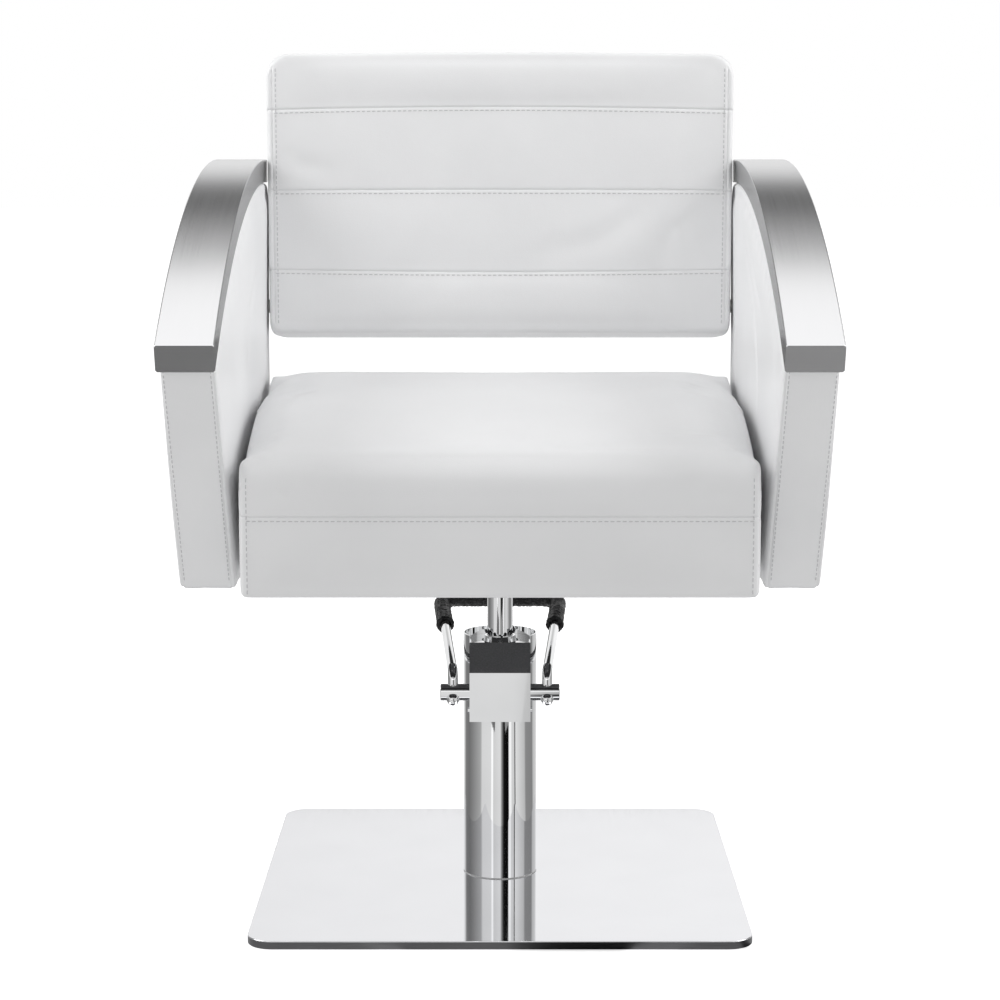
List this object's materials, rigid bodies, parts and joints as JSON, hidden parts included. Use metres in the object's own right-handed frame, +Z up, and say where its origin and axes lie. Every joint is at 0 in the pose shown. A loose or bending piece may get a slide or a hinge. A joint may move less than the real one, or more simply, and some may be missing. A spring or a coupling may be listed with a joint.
{
  "type": "styling chair",
  "caption": "Hydraulic salon styling chair: padded seat and backrest between upholstered arms topped by curved steel straps, on a chrome pump column with foot lever and square base plate.",
  "frame": {"origin": "on the floor, on the column's axis, at the middle of the base plate's anti-slip mat", "axes": "+Z up along the column, -Y towards where the sitter faces, +X to the right for someone looking at the chair's front"},
  "size_m": [0.623, 0.6046, 0.8523],
  "materials": {
    "mat_rubber": "matte",
    "polished_plate": "polished",
    "chrome": "polished",
    "zinc_steel": "satin",
    "strap_steel": "satin",
    "ground_steel": "satin",
    "cast_head": "satin",
    "bronze": "satin",
    "seal_rubber": "satin",
    "grip_rubber": "matte",
    "plywood": "matte",
    "white_vinyl": "satin",
    "dust_cloth": "matte"
  },
  "bodies": {
    "base": {"anti_slip_mat": "mat_rubber", "base_plate": "polished_plate", "pump_foot": "cast_head", "base_bolts": "zinc_steel", "foot_gasket": "seal_rubber", "column_cover": "chrome", "reservoir_tube": "ground_steel", "ram_cylinder": "ground_steel", "pump_head": "cast_head", "rod_bush": "bronze", "rod_seal": "seal_rubber", "gland_ring": "chrome", "shaft_bushes": "bronze", "head_cap": "chrome", "head_cover": "chrome", "cover_screws": "chrome", "plunger_spring": "ground_steel", "release_spring": "ground_steel"},
    "lift": {"piston": "ground_steel", "piston_seal": "seal_rubber"},
    "foot_lever": {"lever_shaft": "chrome", "lever_bar": "chrome", "clamp_bolts": "chrome", "lever_grip": "grip_rubber", "lever_cam": "ground_steel"},
    "plunger": {"pump_plunger": "ground_steel"},
    "release": {"release_pin": "ground_steel"},
    "chair": {"seat_mount_plate": "cast_head", "mount_bolts": "zinc_steel", "seat_board": "plywood", "seat_dust_cover": "dust_cloth", "seat_socket": "chrome", "lift_rod": "chrome", "seat_side_rails": "plywood", "seat_cushion": "white_vinyl", "arm_strap_left": "strap_steel", "arm_core_left": "plywood", "arm_upholstery_left": "white_vinyl", "arm_strap_right": "strap_steel", "arm_core_right": "plywood", "arm_upholstery_right": "white_vinyl", "strap_screws": "zinc_steel", "arm_bolts": "chrome", "arm_washers": "chrome", "arm_sleeves": "zinc_steel", "back_cushion": "white_vinyl", "back_frame": "plywood", "back_rear_pad": "white_vinyl", "threaded_inserts": "zinc_steel"}
  },
  "joints": [
    {"name": "seat_lift", "type": "slide", "parent": "base", "child": "lift", "axis": [0, 0, 1], "range_m": [0, 0.15]},
    {"name": "seat_swivel", "type": "hinge", "parent": "lift", "child": "chair", "pos_m": [0, 0, 0], "axis": [0, 0, 1], "continuous": true},
    {"name": "lever_press", "type": "hinge", "parent": "base", "child": "foot_lever", "pos_m": [0, -0.046, 0.207], "axis": [-1, 0, 0], "range_deg": [0, 25], "stiffness_Nm_per_rad": 6, "springref_deg": -28.65},
    {"name": "plunger_stroke", "type": "slide", "parent": "base", "child": "plunger", "axis": [0, 0, -1], "range_m": [0, 0.0088], "deforming": ["plunger_spring"]},
    {"name": "release_press", "type": "slide", "parent": "base", "child": "release", "axis": [0, 0, -1], "range_m": [0, 0.002], "stiffness_N_per_m": 300, "springref_m": -0.004, "deforming": ["release_spring"]}
  ],
  "couplings": [
    {"joint": "plunger_stroke", "follows": "lever_press", "m_per_rad": 0.02}
  ]
}
